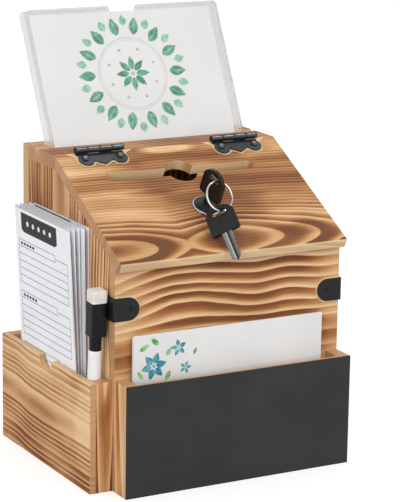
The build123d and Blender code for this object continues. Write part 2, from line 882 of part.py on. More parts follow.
def build_nodes():
    """Every sub-part by name, as one solid or as a list of separate solids."""
    left_centre, right_centre = hinge_centres
    return {
        "front_panel": build_front_panel(),
        "back_panel": build_back_panel(),
        "left_side_panel": build_side_panel(-1),
        "right_side_panel": build_side_panel(1),
        "bottom_panel": build_bottom_panel(),
        "top_board": build_top_board(),
        "left_hinge_fixed_leaf": build_fixed_leaf(left_centre),
        "right_hinge_fixed_leaf": build_fixed_leaf(right_centre),
        "hinge_pins": build_hinge_pins(),
        "fixed_leaf_screws": [place * flat_screw(edge_screw_length) for place in edge_screw_places],
        "left_corner_bracket": build_bracket(-1, bracket_left_z),
        "right_corner_bracket": build_bracket(1, bracket_right_z),
        "bracket_screws": [place * flat_screw(bracket_screw_length) for place in bracket_screw_places],
        "lock_strike": build_strike(),
        "strike_screws": [place * flat_screw(strike_screw_length) for place in strike_screw_places],
        "slip_pocket_outer_board": build_pocket_outer(),
        "slip_pocket_front_board": build_pocket_front(),
        "slip_pocket_back_board": build_pocket_back(),
        "slip_pocket_bottom": build_pocket_bottom(),
        "card_pocket_left_side": build_front_pocket_side(-1),
        "card_pocket_right_side": build_front_pocket_side(1),
        "card_pocket_bottom": build_front_pocket_bottom(),
        "card_pocket_front_board": build_front_pocket_board(),
        "chalkboard": build_chalkboard(),
        "lid_panel": build_lid_panel(),
        "left_hinge_lid_leaf": build_lid_leaf(left_centre),
        "right_hinge_lid_leaf": build_lid_leaf(right_centre),
        "lid_leaf_screws": [place * pan_screw(lid_screw_length) for place in lid_screw_places],
        "lock_housing": build_lock_housing(),
        "lock_rim": build_lock_rim(),
        "lock_nut": build_lock_nut(),
        "lock_plug": build_lock_plug(),
        "lock_cam": build_cam(),
        "cam_screw": build_cam_screw(),
        "key_blade": key_location * build_key_blade(),
        "key_head": key_location * build_key_head(),
        "key_ring": build_key_ring(),
        "spare_key_blade": spare_location * build_key_blade(),
        "spare_key_head": spare_location * build_key_head(),
        "sign_holder": build_sign_holder(),
        "sign_card": build_sign_card(),
        "suggestion_slips": build_slips(),
        "display_cards": build_front_cards(),
        "marker_barrel": build_marker_barrel(),
        "marker_collar": build_marker_collar(),
        "marker_nib": build_marker_nib(),
        "marker_cap": build_marker_cap(),
        "marker_eraser": build_marker_eraser(),
    }


def main():
    os.makedirs("parts", exist_ok=True)
    for name, solids in build_nodes().items():
        shape = Compound(children=solids) if isinstance(solids, list) else solids
        export_step(shape, os.path.join("parts", name + ".step"))
    print("hinge axis", round(axis_y, 3), round(axis_z, 3))
    print("key lift", round(key_head_lift, 4), "pocket", round(pocket_outer_x, 3), round(pocket_inner_x, 3))
    for label, point in (("lock", key_origin), ("ring top", ring_top), ("ring low", ring_low)):
        print(label, [round(value, 3) for value in point])


main()
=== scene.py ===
import math

import bmesh
import bpy
from mathutils import Matrix, Vector


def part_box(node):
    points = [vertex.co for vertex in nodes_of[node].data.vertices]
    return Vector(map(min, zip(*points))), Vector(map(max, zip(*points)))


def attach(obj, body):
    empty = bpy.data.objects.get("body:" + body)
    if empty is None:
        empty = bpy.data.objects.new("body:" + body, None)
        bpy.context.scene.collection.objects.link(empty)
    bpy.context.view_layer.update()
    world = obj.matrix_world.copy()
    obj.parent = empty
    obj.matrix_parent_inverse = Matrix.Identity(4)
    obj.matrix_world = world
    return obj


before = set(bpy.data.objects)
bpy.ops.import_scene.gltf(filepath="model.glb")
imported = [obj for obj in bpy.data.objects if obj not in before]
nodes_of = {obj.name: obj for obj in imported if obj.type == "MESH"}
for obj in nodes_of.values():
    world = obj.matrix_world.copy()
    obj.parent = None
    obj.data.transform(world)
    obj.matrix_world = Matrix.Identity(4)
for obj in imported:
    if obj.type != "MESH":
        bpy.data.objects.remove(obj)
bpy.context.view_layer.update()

scene = bpy.context.scene
scene.view_settings.view_transform = "Standard"

X = (1, 0, 0)
Y = (0, 1, 0)
Z = (0, 0, 1)

# Millimetres in a metre. Sizes and places below are in millimetres unless a comment says otherwise,
# and those of the solids that can't be read from the frame repeat the part's own.
MM = 1000.0

# The lid's frame: its seam with the top board, the way down its slope and the way out of it
LID_SLOPE = math.radians(28.0)
SEAM = Vector((0.0, 23.3, 239.0))
DOWN_SLOPE = Vector((0.0, -math.cos(LID_SLOPE), -math.sin(LID_SLOPE)))
LID_OUT = Vector((0.0, -math.sin(LID_SLOPE), math.cos(LID_SLOPE)))

# The hinges, the way their painted highlight lines face, and the outline of a lid leaf, which has two round
# lobes with a point between them. The slant is the way the point's edge faces, to the side and down.
HINGE_X = 60.0
HINGE_AXIS = (0.0, 22.2, 241.7)
KNUCKLE_RADIUS = 2.6
KNUCKLE_LENGTH = 10.4
HIGHLIGHT_SIDE = (0.0, -0.75, 0.6614)
LEAF_SCREW_ASIDE = 15.0
LEAF_SCREW_DOWN = 8.2
LOBE_ASIDE = 14.2
LOBE_DOWN = 9.4
LOBE_RADIUS = 6.6
POINT_DOWN = 16.2
POINT_SLANT = (0.52, 0.85)

# The spare key: its blade's width, and in the lid's frame the ways it hangs and faces
KEY_BLADE_WIDTH = 8.0
SPARE_HANG = (-0.016, 0.968, -0.252)
SPARE_FACE = (-0.623, 0.188, 0.759)

# The sign stand, and how far the card's face lies in front of its middle
SIGN_LEAN = math.radians(26.5)
SIGN_FOOT = Vector((0.0, 55.3, 239.0))
SIGN_UP = Vector((0.0, math.sin(SIGN_LEAN), math.cos(SIGN_LEAN)))
SIGN_FACE = Vector((0.0, -math.cos(SIGN_LEAN), math.sin(SIGN_LEAN)))
SIGN_CARD_FACE = 0.35

# The slips, which fan out: the first leans out by the room left in the pocket over the pocket's
# rise, and the last stands upright. Each is shifted to the back by some steps of its own.
SLIP_COUNT = 8
SLIP_HEIGHT = 189.0
SLIP_THICKNESS = 1.05
SLIP_PITCH = 1.1
SLIP_SHIFT = 1.2
SLIP_SHUFFLE = 5
SLIP_CORNER = Vector((-106.6, 54.0, 6.3))
SLIP_ROOM = 4.4
POCKET_RISE = 79.7
SLIP_LEAN = math.atan(SLIP_ROOM / POCKET_RISE)

# The photograph's viewpoint, in metres, and its focal length in pixels of its height
CAMERA_PLACE = (-0.81127, -1.49404, 0.56835)
CAMERA_AZIMUTH = math.radians(29.05)
CAMERA_ELEVATION = math.radians(13.54)
CAMERA_ROLL = math.radians(0.89)
FOCAL_PIXELS = 2220.33
PICTURE_PIXELS = 502.0
SENSOR_HEIGHT = 24.0

# The lamps: name, place and two sides in metres, and power in watts. All aim at one place.
LAMPS = (
    ("key_lamp", (-1.9, -1.3, 0.9), 1.4, 1.4, 16.0),
    ("fill_lamp", (0.6, -2.0, 0.8), 1.6, 1.6, 8.0),
    ("back_lamp", (0.3, 1.2, 2.0), 1.4, 1.4, 3.0),
    ("strip_lamp", (0.90, -0.62, 1.85), 0.5, 0.08, 2.2),
)
LAMP_AIM = Vector((-0.02, 0.0, 0.15))
WORLD_LIGHT = 0.85
FLOOR_LIFT = 0.62
FLOOR_SIZE = 12.0

# The wood's noise: its scales along, across and into a board, in waves per millimetre, and how
# far a board's number moves it on along each
DRIFT = ((0.010, 0.012, 0.012), (7.3, 3.1, 1.7))
RIPPLE = ((0.034, 0.020, 0.020), (2.3, 5.9, 0.0))
ROCKING = ((0.016, 0.0, 0.0), (6.1, 2.9, 0.0))
FLAME = ((0.011, 0.022, 0.0), (9.1, 4.7, 1.0))
FIBRE = ((0.03, 1.1, 1.1), (0.0, 0.0, 0.0))
PACKET_PER_RING = 0.21
PACKET_ALONG = 0.006
UNEVEN_PER_RING = 0.45

# Noise keeps near its middle, so it is spread out between these values
NOISE_RANGE = (0.3, 0.7)
FLAME_RANGE = (0.30, 0.62)
PACKET_RANGE = (0.32, 0.68)

# How much of the noise across a board also moves its pith in depth, and the rings inside a core
DRIFT_IN_DEPTH = 0.4
CORE_RINGS = 0.6

# An oval spot keeps its full tone up to the first share of its size and fades out at the second
BLOT_EDGE = (0.5, 1.1)

# How dark a ring is at places from its inner side, at 0, to its outer side, at 1
RING_PROFILE = (
    (0.0, 0.30), (0.05, 0.96), (0.22, 1.0), (0.50, 0.74), (0.70, 0.36), (0.84, 0.05), (0.93, 0.0),
    (1.0, 0.06))

# A ring width given over this distance holds for the rest of the board
REST = 400.0

# How much a face looks along an axis when it starts to count as an edge or an end, and when it is one
TURNED = (0.35, 0.85)

# Unburnt wood round a fitting: its colour and strength, the distances at which it starts to fade
# and ends, and how far below the outer face it reaches
PALE_WOOD = "#f3d9ac"
RIM_STRENGTH = 0.75
RIM_FULL = 0.9
RIM_END = 1.5
FACE_ROOM = 0.5

# Printed plates are this thick, or thicker where they lie on another print
PRINT = 0.04
OVERPRINT = 0.06


def add_camera():
    """The camera, at the photograph's viewpoint."""
    data = bpy.data.cameras.new("camera")
    camera = bpy.data.objects.new("camera", data)
    scene.collection.objects.link(camera)
    forward = Vector((
        math.sin(CAMERA_AZIMUTH) * math.cos(CAMERA_ELEVATION),
        math.cos(CAMERA_AZIMUTH) * math.cos(CAMERA_ELEVATION),
        -math.sin(CAMERA_ELEVATION),
    ))
    level = Vector((math.cos(CAMERA_AZIMUTH), -math.sin(CAMERA_AZIMUTH), 0.0))
    upright = level.cross(forward)
    right = level * math.cos(CAMERA_ROLL) + upright * math.sin(CAMERA_ROLL)
    up = upright * math.cos(CAMERA_ROLL) - level * math.sin(CAMERA_ROLL)
    turn = Matrix((right, up, -forward)).transposed().to_4x4()
    camera.matrix_world = Matrix.Translation(CAMERA_PLACE) @ turn
    data.sensor_fit = "VERTICAL"
    data.sensor_height = SENSOR_HEIGHT
    data.lens = FOCAL_PIXELS * SENSOR_HEIGHT / PICTURE_PIXELS
    data.clip_start = 0.05
    data.clip_end = 60.0
    scene.camera = camera


def srgb(text):
    """A colour written as in a picture editor, as linear numbers."""
    values = [int(text[i:i + 2], 16) / 255.0 for i in (1, 3, 5)]
    return tuple(v / 12.92 if v <= 0.04045 else ((v + 0.055) / 1.055) ** 2.4 for v in values) + (1.0,)


class Nodes:
    """A node tree and short ways to add nodes to it."""

    def __init__(self, tree):
        self.tree = tree

    def new(self, kind):
        return self.tree.nodes.new("ShaderNode" + kind)

    def put(self, socket, value):
        """Links a socket to another, or sets it to a value."""
        if isinstance(value, bpy.types.NodeSocket):
            self.tree.links.new(value, socket)
        else:
            socket.default_value = value

    def math(self, operation, first, second=0.0, third=0.0):
        node = self.new("Math")
        node.operation = operation
        for socket, value in zip(node.inputs, (first, second, third)):
            self.put(socket, value)
        return node.outputs[0]

    def vector(self, operation, first, second=(0, 0, 0)):
        node = self.new("VectorMath")
        node.operation = operation
        self.put(node.inputs[0], first)
        self.put(node.inputs[1], second)
        return node.outputs["Value" if operation in ("DOT_PRODUCT", "LENGTH") else "Vector"]

    def combine(self, x, y, z):
        node = self.new("CombineXYZ")
        for socket, value in zip(node.inputs, (x, y, z)):
            self.put(socket, value)
        return node.outputs[0]

    def length(self, x, y):
        return self.vector("LENGTH", self.combine(x, y, 0.0))

    def noise(self, vector, detail, roughness=0.5, scale=1.0):
        node = self.new("TexNoise")
        self.put(node.inputs["Vector"], vector)
        node.inputs["Scale"].default_value = scale
        node.inputs["Detail"].default_value = detail
        node.inputs["Roughness"].default_value = roughness
        return node.outputs[0]

    def waves(self, vector, reach, detail=0.0, roughness=0.5):
        """Noise that swings to both sides of nothing."""
        return self.math("MULTIPLY_ADD", self.noise(vector, detail, roughness), 2 * reach, -reach)

    def change(self, kind, value, low, high, start, end):
        node = self.new("MapRange")
        node.interpolation_type = kind
        self.put(node.inputs["Value"], value)
        for name, number in (("From Min", low), ("From Max", high), ("To Min", start), ("To Max", end)):
            self.put(node.inputs[name], number)
        return node.outputs[0]

    def smooth(self, value, low, high, start=0.0, end=1.0):
        """Goes from start to end, rounded at both, as the value goes from low to high."""
        return self.change("SMOOTHSTEP", value, low, high, start, end)

    def linear(self, value, low, high, start=0.0, end=1.0):
        """Goes evenly from start to end as the value goes from low to high."""
        return self.change("LINEAR", value, low, high, start, end)

    def ramp(self, value, stops):
        """Colours, or plain tones where the stops are numbers, along a value."""
        node = self.new("ValToRGB")
        elements = node.color_ramp.elements
        while len(elements) < len(stops):
            elements.new(0.5)
        for element, (position, colour) in zip(elements, stops):
            element.position = position
            element.color = srgb(colour) if isinstance(colour, str) else (colour, colour, colour, 1.0)
        self.put(node.inputs[0], value)
        return node.outputs[0]

    def mix(self, factor, first, second):
        """Goes from the first colour to the second with the factor."""
        node = self.new("Mix")
        node.data_type = "RGBA"
        self.put(node.inputs[0], factor)
        self.put(node.inputs[6], srgb(first) if isinstance(first, str) else first)
        self.put(node.inputs[7], srgb(second) if isinstance(second, str) else second)
        return node.outputs[2]


class Surface(Nodes):
    """A material and its shader."""

    def __init__(self, name):
        self.material = bpy.data.materials.new(name)
        self.material.use_nodes = True
        super().__init__(self.material.node_tree)
        self.shader = self.tree.nodes["Principled BSDF"]

    def set(self, **values):
        """Links or sets the shader's sockets by their names."""
        for name, value in values.items():
            self.put(self.shader.inputs[name.replace("_", " ")], value)


class Finish(Surface):
    """A material that goes by a face's place, in millimetres, and the way it faces."""

    def __init__(self, name):
        super().__init__(name)
        coords = self.new("TexCoord")
        self.normal = coords.outputs["Normal"]
        self.place = self.vector("MULTIPLY", coords.outputs["Object"], (MM, MM, MM))

    def towards(self, way):
        """How far a place lies in a direction."""
        return self.vector("DOT_PRODUCT", self.place, way)

    def facing(self, way):
        """How much a face looks in a direction."""
        return self.vector("DOT_PRODUCT", self.normal, way)

    def turned(self, way):
        """Whether a face looks in a direction or against it."""
        return self.smooth(self.math("ABSOLUTE", self.facing(way)), *TURNED)

    def over(self, factor, colour):
        """Lays a colour over the base colour."""
        base = self.shader.inputs["Base Color"].links[0].from_socket
        self.set(Base_Color=self.mix(factor, base, colour))

    def bump(self, height, distance, strength):
        node = self.new("Bump")
        node.inputs["Strength"].default_value = strength
        node.inputs["Distance"].default_value = distance
        self.put(node.inputs["Height"], height)
        self.set(Normal=node.outputs[0])


class Wood(Finish):
    """Torched pine. Rings run round a pith line, so that flat faces show the arches and stripes of
    a sawn board. Each ring starts dark, where the soft wood has burnt, and ends in a pale hard
    line. The directions run along the grain, across the board and into it, and the board's number
    gives it noise of its own."""

    def __init__(self, name, grain, across, depth, number):
        super().__init__(name)
        self.grain = grain
        self.across = across
        self.number = number
        self.along = self.towards(grain)
        self.side = self.towards(across)
        self.deep = self.towards(depth)

    def field(self, scales, moves):
        """A place in noise: the place in the board, scaled, and moved on with the board's number."""
        return self.combine(*(
            self.math("MULTIPLY_ADD", place, scale, self.number * move)
            for place, scale, move in zip((self.along, self.side, self.deep), scales, moves)))

    def pith(self, side, depth, taper=0.0, wobble=5.0, bends=(), calm=None, sinks=(), rock=0.0):
        """Sets the pith line by its place across and in depth where the grain's own axis is at
        nothing. Taper lessens its depth along the grain. Each bend moves it across, and each sink
        lessens its depth, by an amount between two places along the grain. A sink below nothing
        adds depth, and is rounded at both ends. Calm is two places across the board and the share
        of the bends that is left before the first. Wobble and rock are how far noise moves the
        line, across and in depth."""
        drift = self.waves(self.field(*DRIFT), wobble)
        self.ripple = self.waves(self.field(*RIPPLE), 0.25 * wobble + 0.35, 1.0, 0.4)
        shift = 0.0
        for start, end, change in bends:
            shift = self.math("ADD", shift, self.smooth(self.along, start, end, 0.0, change))
        if calm:
            low, high, least = calm
            shift = self.math("MULTIPLY", shift, self.smooth(self.side, low, high, least))
        self.bent = self.math("SUBTRACT", self.side, shift)
        off_side = self.math(
            "ADD", self.math("SUBTRACT", self.bent, side), self.math("ADD", drift, self.ripple))
        sink = self.math("MULTIPLY_ADD", self.along, taper, -depth)
        for start, end, change in sinks:
            slope = self.smooth if change < 0 else self.linear
            sink = self.math("ADD", sink, slope(self.along, start, end, 0.0, change))
        rocking = self.waves(self.field(*ROCKING), rock)
        off_deep = self.math(
            "ADD", self.math("ADD", self.deep, sink),
            self.math("MULTIPLY_ADD", drift, DRIFT_IN_DEPTH, rocking))
        self.radius = self.length(off_side, off_deep)
        return self

    def rings(self, *pitches, core=0.0, uneven=1.6):
        """Counts the rings outwards. Pitches are pairs of a distance outwards and the ring width
        over it, and start outside a core. Uneven is how much noise varies the widths."""
        outside = self.math("SUBTRACT", self.radius, core)
        inside = self.math("MINIMUM", outside, 0.0)
        count = self.math("MULTIPLY", inside, CORE_RINGS / max(core, 1.0))
        reach = 0.0
        for width, pitch in pitches:
            part = self.linear(outside, reach, reach + width, 0.0, width / pitch)
            count = self.math("ADD", count, part)
            reach += width
        first_pitch = pitches[0][1]
        per_ring = self.math("MULTIPLY", outside, UNEVEN_PER_RING / first_pitch)
        place = self.combine(per_ring, self.number, 0.0)
        amount = self.linear(outside, 0.0, 3 * first_pitch, 0.0, uneven)
        self.count = self.math("ADD", count, self.math("MULTIPLY", self.noise(place, 0.0), amount))
        return self

    def torch(self, burn=0.75, ground=0.0, even=0.5, packets=0.0, hush=(), fade=None):
        """Burns the rings by burn, and the whole board by ground. Even is the share of the burn
        where the flame was weakest. Packets darken some groups of rings and lighten others. Each
        hush is two places along the grain and the share of the burn that is left at the first.
        Fade is two places across the board, the share of the burn before the first and the share
        of the ground beyond the second."""
        flame = self.noise(self.field(*FLAME), 2.0)
        chance = self.new("TexWhiteNoise")
        chance.noise_dimensions = "1D"
        self.put(chance.inputs["W"], self.math("FLOOR", self.count))
        amount = self.math("MULTIPLY", self.smooth(flame, *FLAME_RANGE, even), burn)
        amount = self.math("MULTIPLY", amount, self.linear(chance.outputs[0], 0.0, 1.0, even + 0.1, 1.1))
        for start, end, least in hush:
            amount = self.math("MULTIPLY", amount, self.smooth(self.along, start, end, least))
        base = self.smooth(flame, *FLAME_RANGE, 0.5 * ground, ground)
        if packets:
            packet = self.noise(self.combine(
                self.math("MULTIPLY", self.count, PACKET_PER_RING),
                self.math("MULTIPLY_ADD", self.along, PACKET_ALONG, self.number), 0.0), 1.0)
            base = self.math("ADD", base, self.smooth(packet, *PACKET_RANGE, -packets, packets))
            amount = self.math("MULTIPLY", amount, self.smooth(packet, *PACKET_RANGE, 0.8, 1.15))
        if fade:
            low, high, burn_before, ground_beyond = fade
            amount = self.math("MULTIPLY", amount, self.smooth(self.bent, low, high, burn_before))
            base = self.math("MULTIPLY", base, self.smooth(self.bent, low, high, 1.0, ground_beyond))
        band = self.ramp(self.math("FRACT", self.count), RING_PROFILE)
        self.tone = self.math("MULTIPLY_ADD", band, amount, base)
        return self

    def blots(self, *spots):
        """Darkens or lightens oval spots. Each has its place along and across the board, half its
        length and half its width, and its change of tone, which is below nothing for paler."""
        for along, across, half_length, half_width, change in spots:
            rippled = self.math("ADD", self.side, self.ripple)
            out = self.length(
                self.math("MULTIPLY_ADD", self.along, 1.0 / half_length, -along / half_length),
                self.math("MULTIPLY_ADD", rippled, 1.0 / half_width, -across / half_width))
            self.tone = self.math("ADD", self.tone, self.smooth(out, *BLOT_EDGE, change, 0.0))
        return self

    def finish(self, edge="#dcb68b", middle="#a96f3f", halo=None):
        """Colours the wood by its tone. Sanded edges are paler and plainer, and sawn ends show the
        rings faintly."""
        fibre = self.noise(self.field(*FIBRE), 3.0, 0.6)
        tone = self.math("ADD", self.tone, self.math("MULTIPLY_ADD", fibre, 0.38, -0.19))
        colour = self.ramp(tone, (
            (0.0, "#f0cd9d"), (0.14, "#e0b688"), (0.34, "#cb9a68"), (0.56, middle), (0.80, "#844d27"),
            (1.0, "#6d3f21")))
        if halo:
            colour = self.mix(halo(self), colour, PALE_WOOD)
        edge_colour = self.mix(self.math("MULTIPLY", tone, 0.35), edge, "#a87a4e")
        edge_colour = self.mix(self.math("MULTIPLY", fibre, 0.3), edge_colour, "#c79f74")
        end_colour = self.mix(self.math("MULTIPLY_ADD", tone, 0.5, 0.12), "#cfa277", "#996a48")
        colour = self.mix(self.turned(self.across), colour, edge_colour)
        colour = self.mix(self.turned(self.grain), colour, end_colour)
        self.set(
            Base_Color=colour, Roughness=self.linear(tone, 0.0, 1.0, 0.50, 0.62), Specular_IOR_Level=0.32)
        self.bump(self.math("MULTIPLY_ADD", fibre, 0.5, self.math("MULTIPLY", tone, -0.9)), 0.0002, 0.55)
        return self


def pale_rim(net, distance):
    """Pale wood under a fitting and in a narrow rim round it, where it stayed unburnt."""
    return net.smooth(distance, RIM_FULL, RIM_END, RIM_STRENGTH, 0.0)


def bracket_halo(net):
    """The rim round the two corner brackets, whose inner ends are round, on the front panel."""
    low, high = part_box("left_corner_bracket")
    other_low, other_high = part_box("right_corner_bracket")
    radius = MM * (high.z - low.z) / 2
    round_from = -MM * high.x + radius
    across = net.towards(X)
    on_right = net.math("GREATER_THAN", across, 0.0)
    middle = net.linear(on_right, 0.0, 1.0, MM * (low.z + high.z) / 2, MM * (other_low.z + other_high.z) / 2)
    rise = net.math("SUBTRACT", net.towards(Z), middle)
    inward = net.math("MAXIMUM", net.math("SUBTRACT", round_from, net.math("ABSOLUTE", across)), 0.0)
    distance = net.math("SUBTRACT", net.length(inward, rise), radius)
    outer_face = net.math("LESS_THAN", net.towards(Y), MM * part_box("front_panel")[0].y + FACE_ROOM)
    return net.math("MULTIPLY", outer_face, pale_rim(net, distance))


def beside_hinge(net):
    """How far a place lies to either side of the nearer hinge's middle."""
    return net.math("ABSOLUTE", net.math("SUBTRACT", net.math("ABSOLUTE", net.towards(X)), HINGE_X))


def below_seam(net):
    """How far down the lid a place lies."""
    return net.math("SUBTRACT", net.towards(DOWN_SLOPE), SEAM.dot(DOWN_SLOPE))


def hinge_halo(net):
    """The rim round the lid's two hinge leaves."""
    aside = beside_hinge(net)
    down = below_seam(net)
    below_lobe = net.math("MAXIMUM", net.math("SUBTRACT", down, LOBE_DOWN), 0.0)
    from_lobe = net.length(net.math("SUBTRACT", aside, LOBE_ASIDE), below_lobe)
    lobe = net.math("SUBTRACT", from_lobe, LOBE_RADIUS)
    below_point = net.math("MULTIPLY", net.math("SUBTRACT", down, POINT_DOWN), POINT_SLANT[1])
    point = net.math("MULTIPLY_ADD", aside, POINT_SLANT[0], below_point)
    outer_face = net.math("GREATER_THAN", net.towards(LID_OUT), SEAM.dot(LID_OUT) - FACE_ROOM)
    return net.math("MULTIPLY", outer_face, pale_rim(net, net.math("MINIMUM", lobe, point)))


def paint(net, *names):
    """Gives CAD nodes a material."""
    for name in names:
        materials = nodes_of[name].data.materials
        materials.clear()
        materials.append(net.material)


def plain(name, colour, other, roughness, scale=0.35, metallic=0.0, bump=0.0, specular=0.5, spread=0.08):
    """An even finish with faint changes of colour and gloss."""
    net = Finish(name)
    cloud = net.noise(net.place, 2.0, scale=0.2 * scale)
    grain = net.noise(net.place, 3.0, 0.6, scale=6.0 * scale)
    net.set(
        Base_Color=net.mix(net.smooth(cloud, *NOISE_RANGE), colour, other),
        Roughness=net.smooth(grain, *NOISE_RANGE, roughness - spread, roughness + spread),
        Metallic=metallic, Specular_IOR_Level=specular)
    if bump:
        net.bump(grain, bump, 0.5)
    return net


def dress_lid():
    """The lid has fine rings above and two long arches below, where the pith comes near twice."""
    seam = SEAM.dot(DOWN_SLOPE)
    # The long thin band 15.8 below the seam darkens the wood a little along the slot's edge: painted shade.
    spots = (
        (-2.0, 3.0, 27.0, 7.5, -0.55), (0.0, 15.8, 95.0, 4.0, 0.05), (-40.0, 54.0, 26.0, 4.5, 0.22),
        (52.0, 10.0, 30.0, 3.0, 0.12), (66.0, 112.0, 26.0, 9.0, 0.20), (25.0, 66.0, 50.0, 5.0, 0.10),
        (-84.0, 45.0, 48.0, 42.0, -0.18), (-78.0, 14.0, 44.0, 20.0, -0.16),
        (76.0, 12.0, 30.0, 18.0, -0.12), (30.0, 6.0, 26.0, 9.0, -0.16), (-52.0, 106.0, 52.0, 12.0, 0.10))
    lid = Wood("wood_lid", X, DOWN_SLOPE, LID_OUT, 2.0)
    lid.pith(seam + 115.3, SEAM.dot(LID_OUT) - 1.0, wobble=2.2,
             sinks=((-97.0, -34.0, 20.0), (-44.0, 12.0, -10.0), (-6.0, 97.0, 18.5)))
    lid.rings((9.0, 9.0), (13.0, 5.6), (REST, 3.1), core=12.5, uneven=1.0)
    lid.torch(1.0, ground=0.60, packets=0.12, fade=(seam + 72, seam + 94, 0.36, 0.52))
    lid.blots(*((along, seam + down, *size, change) for along, down, *size, change in spots))
    # The lid's sanded edges and slot walls get a very pale edge colour: partly the sanded wood, partly
    # painted light where they lie in shade.
    paint(lid.finish(edge="#f8dcb0", middle="#a77542", halo=hinge_halo), "lid_panel")


def dress_front():
    """The front panel has broad waves under the lid, which rise from the left and calm down below."""
    front = Wood("wood_front", X, Z, Y, 5.0)
    front.pith(262.0, -60.0, wobble=1.8, calm=(118.0, 150.0, 0.15),
               bends=((-130.0, -45.0, 16.0), (-35.0, 24.0, -5.6), (20.0, 50.0, 2.2), (50.0, 86.0, -3.0)))
    front.rings((97.2, 10.8), (11.2, 11.2), (8.1, 8.1), (8.4, 8.4), (6.6, 6.6), (5.2, 5.2), (5.0, 5.0),
                (5.4, 5.4), (REST, 12.0), uneven=0.0)
    front.torch(0.98, ground=0.06, even=0.75, hush=((-94.0, -40.0, 0.3), (98.0, 58.0, 0.3)))
    front.blots((0.0, 102.0, 400.0, 13.0, 0.24), (6.0, 138.0, 50.0, 26.0, 0.08),
                (-92.0, 104.0, 40.0, 16.0, 0.16))
    paint(front.finish(halo=bracket_halo), "front_panel")


def dress_panels():
    """The other panels of the box and its top board."""
    left = Wood("wood_left", Z, Y, X, 8.0)
    left.pith(12.0, -92.0, wobble=3.0).rings((REST, 4.8), core=16.0).torch(0.8, ground=0.16, packets=0.12)
    left.blots((200.0, 66.0, 90.0, 34.0, 0.26), (140.0, -62.0, 120.0, 34.0, -0.2))
    paint(left.finish(), "left_side_panel")
    right = Wood("wood_right", Z, Y, X, 11.0)
    right.pith(-20.0, 75.0, -0.03, wobble=4.0, rock=8.0).rings((REST, 5.6), core=8.0)
    paint(right.torch(0.95, ground=0.14, packets=0.12).finish(), "right_side_panel")
    back = Wood("wood_back", Z, X, Y, 14.0)
    back.pith(20.0, 65.0, 0.03, rock=8.0).rings((REST, 5.8), core=10.0)
    paint(back.torch(0.9, ground=0.14, packets=0.12).finish(), "back_panel")
    bottom = Wood("wood_bottom", X, Y, Z, 17.0).pith(10.0, -18.0, 0.02).rings((REST, 4.6))
    paint(bottom.torch(0.5).finish(), "bottom_panel")
    top = Wood("wood_top", X, Y, Z, 20.0).pith(95.0, 215.0, 0.03, wobble=3.0).rings((REST, 4.4))
    paint(top.torch(0.7, ground=0.45).finish(), "top_board")


def dress_pockets():
    """The boards of the slip pocket, of which the outer has a plain band, and of the card pocket."""
    outer = Wood("wood_outer", Y, Z, X, 23.0)
    outer.pith(45.0, -112.0, 0.02, wobble=2.2, bends=((24.0, 58.0, 3.0),)).rings((REST, 4.9), core=11.0)
    outer.torch(0.60, ground=0.20, fade=(40.0, 55.0, 1.15, 0.35))
    outer.blots((-74.0, 52.0, 26.0, 50.0, -0.15), (10.0, 88.0, 80.0, 16.0, -0.07),
                (20.0, 40.0, 46.0, 9.0, 0.10), (0.0, 8.0, 90.0, 22.0, 0.07))
    paint(outer.finish(), "slip_pocket_outer_board")
    ends = Wood("wood_ends", Z, X, Y, 26.0).pith(-104.0, -70.0, 0.03, wobble=1.6)
    paint(ends.rings((REST, 4.4), core=3.0).torch(0.85, ground=0.17).finish(),
          "slip_pocket_front_board", "slip_pocket_back_board")
    strips = Wood("wood_strips", X, Y, Z, 29.0).pith(0.0, -12.0, 0.02)
    paint(strips.rings((REST, 3.5)).torch(0.5).finish(), "slip_pocket_bottom", "card_pocket_bottom")
    sides = Wood("wood_sides", Z, Y, X, 32.0).pith(-100.0, -60.0, 0.02, wobble=1.5)
    paint(sides.rings((REST, 3.1)).torch(0.6).finish(), "card_pocket_left_side", "card_pocket_right_side")
    board = Wood("wood_board", Z, X, Y, 35.0).pith(-60.0, -72.0, 0.03, wobble=2.0)
    paint(board.rings((REST, 3.8)).torch(0.75).finish(), "card_pocket_front_board")


def dark_hinge(name):
    """The dark metal of the hinges, before painted highlights are laid on it."""
    return plain(name, "#343638", "#46484a", 0.20, metallic=0.7, bump=0.00004, spread=0.05)


def hinge_metal():
    """Dark hinge metal, with a painted highlight line along the upper front of each knuckle."""
    net = dark_hinge("black_hinge")
    from_axis = net.vector("SUBTRACT", net.vector("MULTIPLY", net.place, (0, 1, 1)), HINGE_AXIS)
    on_knuckle = net.smooth(
        net.vector("LENGTH", from_axis), KNUCKLE_RADIUS + 0.1, KNUCKLE_RADIUS + 0.3, 1.0, 0.0)
    from_end = net.math("PINGPONG", beside_hinge(net), KNUCKLE_LENGTH / 2)
    # Painted highlight: knuckle faces that look up and to the front are lightened, as a lamp's glint on
    # them.
    highlight_facing = net.smooth(net.facing(HIGHLIGHT_SIDE), 0.965, 0.995)
    line = net.math("MULTIPLY", highlight_facing, on_knuckle)
    line = net.math("MULTIPLY", line, net.smooth(from_end, 0.6, 1.3, 0.0, 0.8))
    net.over(line, "#84888b")
    return net


def screws_painted_highlight():
    """Dark screws whose crowns carry a painted highlight, a pale spot in each head's middle."""
    net = dark_hinge("screws_painted_highlight")
    aside = net.math("SUBTRACT", beside_hinge(net), LEAF_SCREW_ASIDE)
    down = net.math("SUBTRACT", below_seam(net), LEAF_SCREW_DOWN)
    # Painted highlight on each screw's crown.
    net.over(net.smooth(net.length(aside, down), 0.7, 1.8, 1.0, 0.0), "#c3c5c7")
    return net


def on_lid(along, down, out):
    """A direction given along the hinges, down the lid's slope and out of it."""
    return Vector(X) * along + DOWN_SLOPE * down + LID_OUT * out


